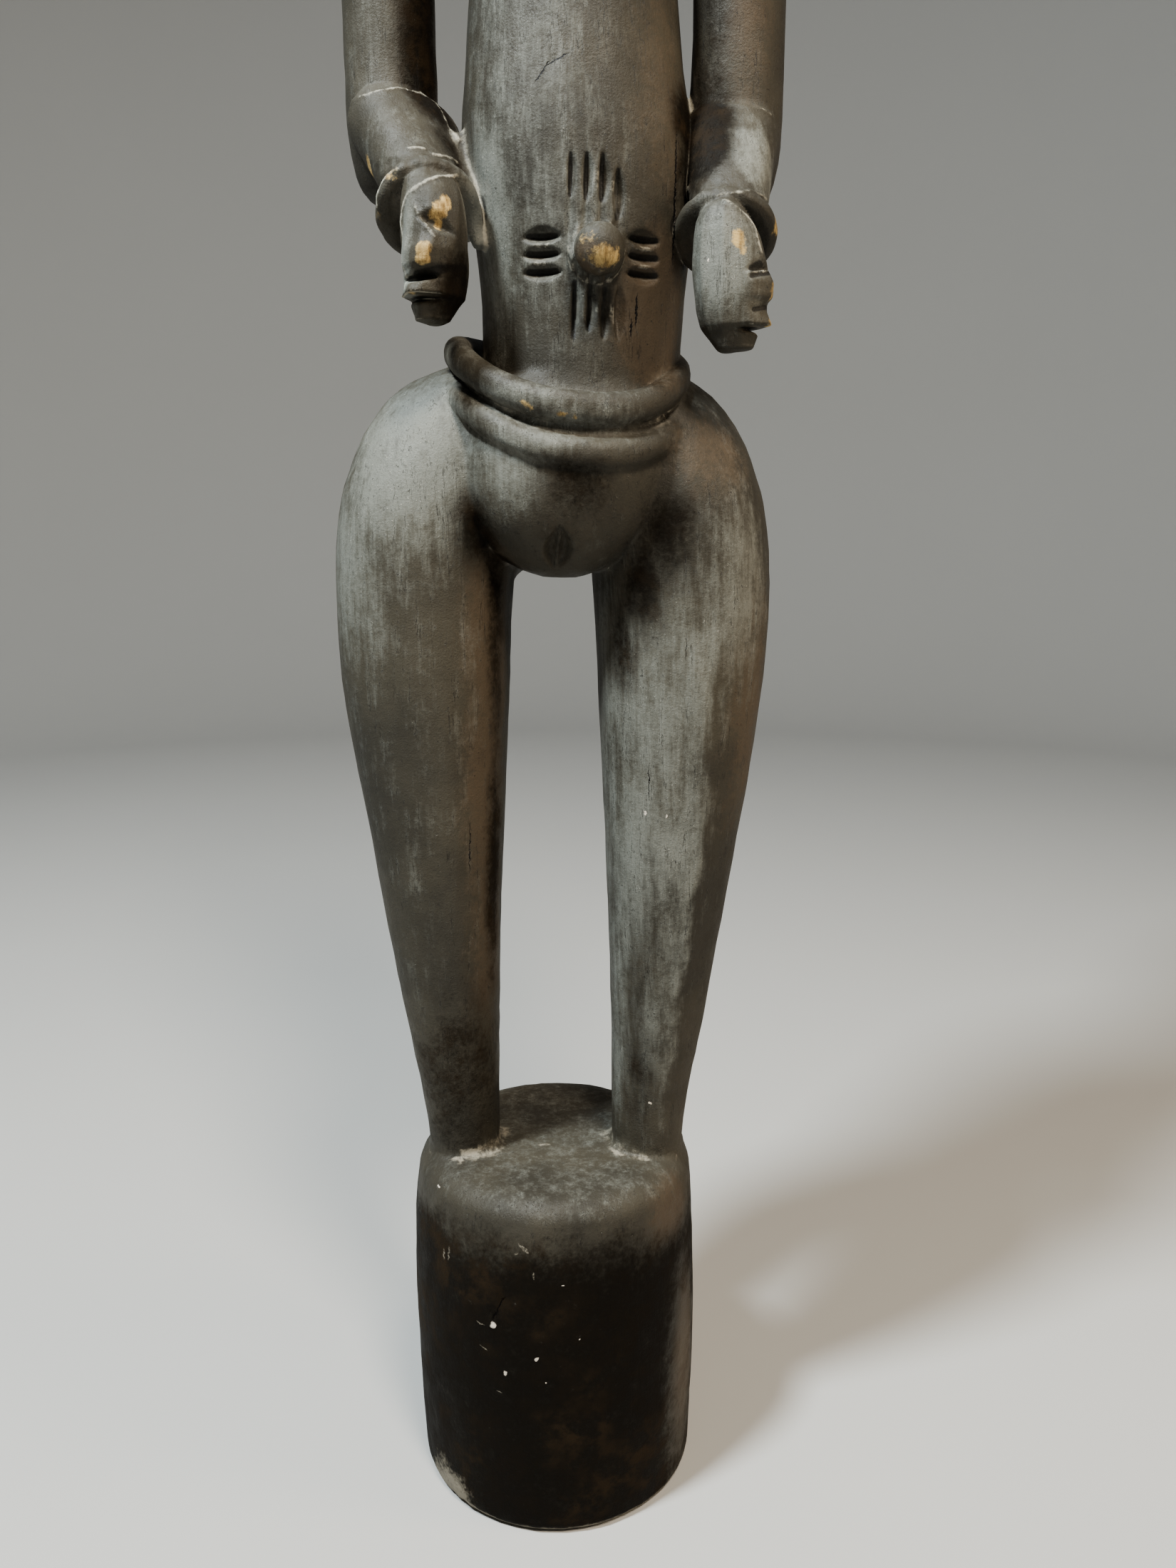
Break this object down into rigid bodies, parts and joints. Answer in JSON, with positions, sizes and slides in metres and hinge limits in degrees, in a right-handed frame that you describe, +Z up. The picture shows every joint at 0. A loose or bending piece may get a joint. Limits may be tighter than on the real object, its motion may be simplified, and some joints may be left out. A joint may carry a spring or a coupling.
{
  "type": "rhythm pounder",
  "caption": "Carved wooden rhythm pounder: a standing woman with hanging arms on a thick round base that strikes the ground.",
  "frame": {"origin": "middle of the base's flat underside", "axes": "+Z up along the figure, which faces -Y; +X is the viewer's right"},
  "size_m": [0.1972, 0.1454, 1.084],
  "materials": {
    "patinated_wood": "dark handled patina, satin, worn to pale wood on high points"
  },
  "bodies": {
    "root": {"carved_pounder_figure": "patinated_wood"}
  },
  "joints": []
}
